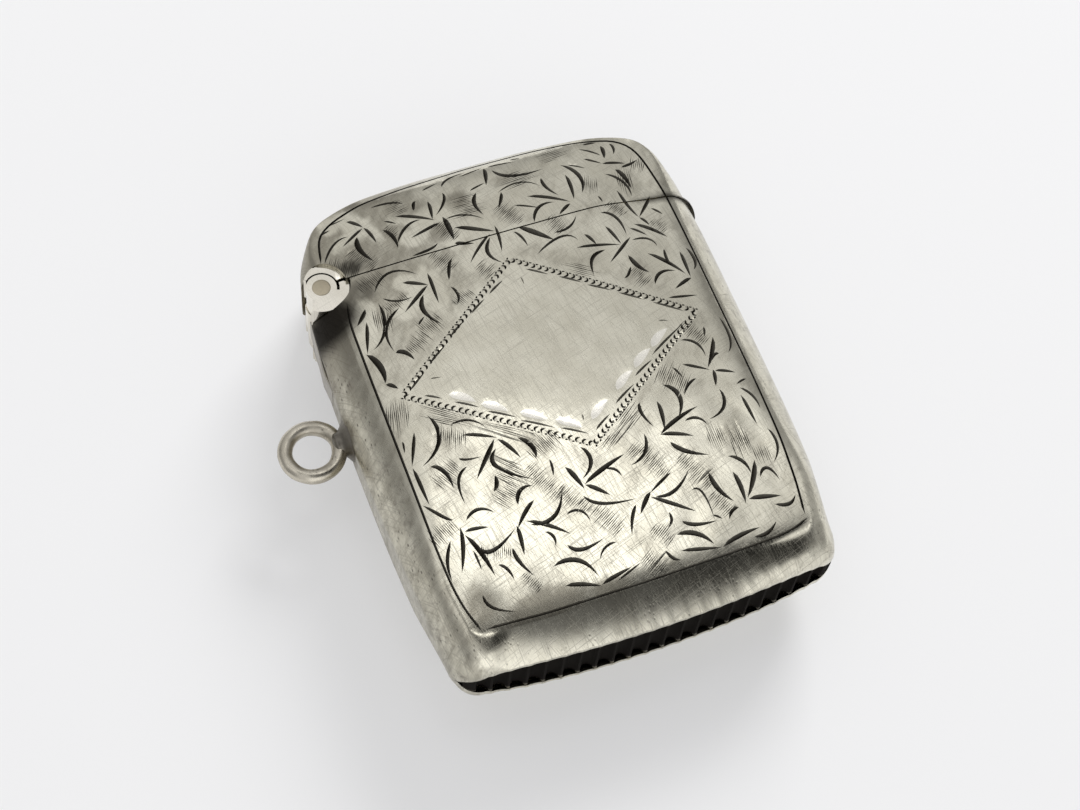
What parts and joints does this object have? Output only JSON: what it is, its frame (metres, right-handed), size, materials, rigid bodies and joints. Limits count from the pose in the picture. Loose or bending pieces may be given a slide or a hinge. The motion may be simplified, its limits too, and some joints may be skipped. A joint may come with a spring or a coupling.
{
  "type": "vesta case",
  "caption": "Small pillow-shaped silver match case with a side-hinged lid, engraved front, ribbed striker base and a hanging ring on one side.",
  "frame": {"origin": "middle of the worn flat on the back, where the case rests when it lies down", "axes": "+X across the case to the thumb lip, +Y along the case up to the lid, +Z out of the engraved front"},
  "size_m": [0.0404, 0.0446, 0.011],
  "materials": {
    "engraved_silver": "worn polish with blackened bright-cut engraving",
    "worn_silver": "dull, fine pits and scratches",
    "sooted_silver": "worn crests over black grooves",
    "inside_silver": "dull, tarnished",
    "hinge_silver": "worn bright, dark in the joints",
    "pin_metal": "filed flush, dull",
    "spring_metal": "dark, tarnished",
    "ring_silver": "worn, dark round its root",
    "solder": "lumpy, tarnished"
  },
  "bodies": {
    "body": {"body_front": "engraved_silver", "body_back": "worn_silver", "striker_base": "sooted_silver", "mouth_collar": "inside_silver", "body_bearer": "hinge_silver", "front_knuckle": "hinge_silver", "back_knuckle": "hinge_silver", "hinge_pin": "pin_metal", "side_spring": "spring_metal", "suspension_ring": "ring_silver", "ring_solder": "solder"},
    "lid": {"lid_front": "engraved_silver", "lid_back": "worn_silver", "thumb_lip": "worn_silver", "lid_bearer": "hinge_silver", "lid_knuckle": "hinge_silver"}
  },
  "joints": [
    {"name": "lid_hinge", "type": "hinge", "parent": "body", "child": "lid", "pos_m": [-0.01535, 0.01277, 0.00543], "axis": [0, 0, 1], "range_deg": [0, 90]}
  ]
}
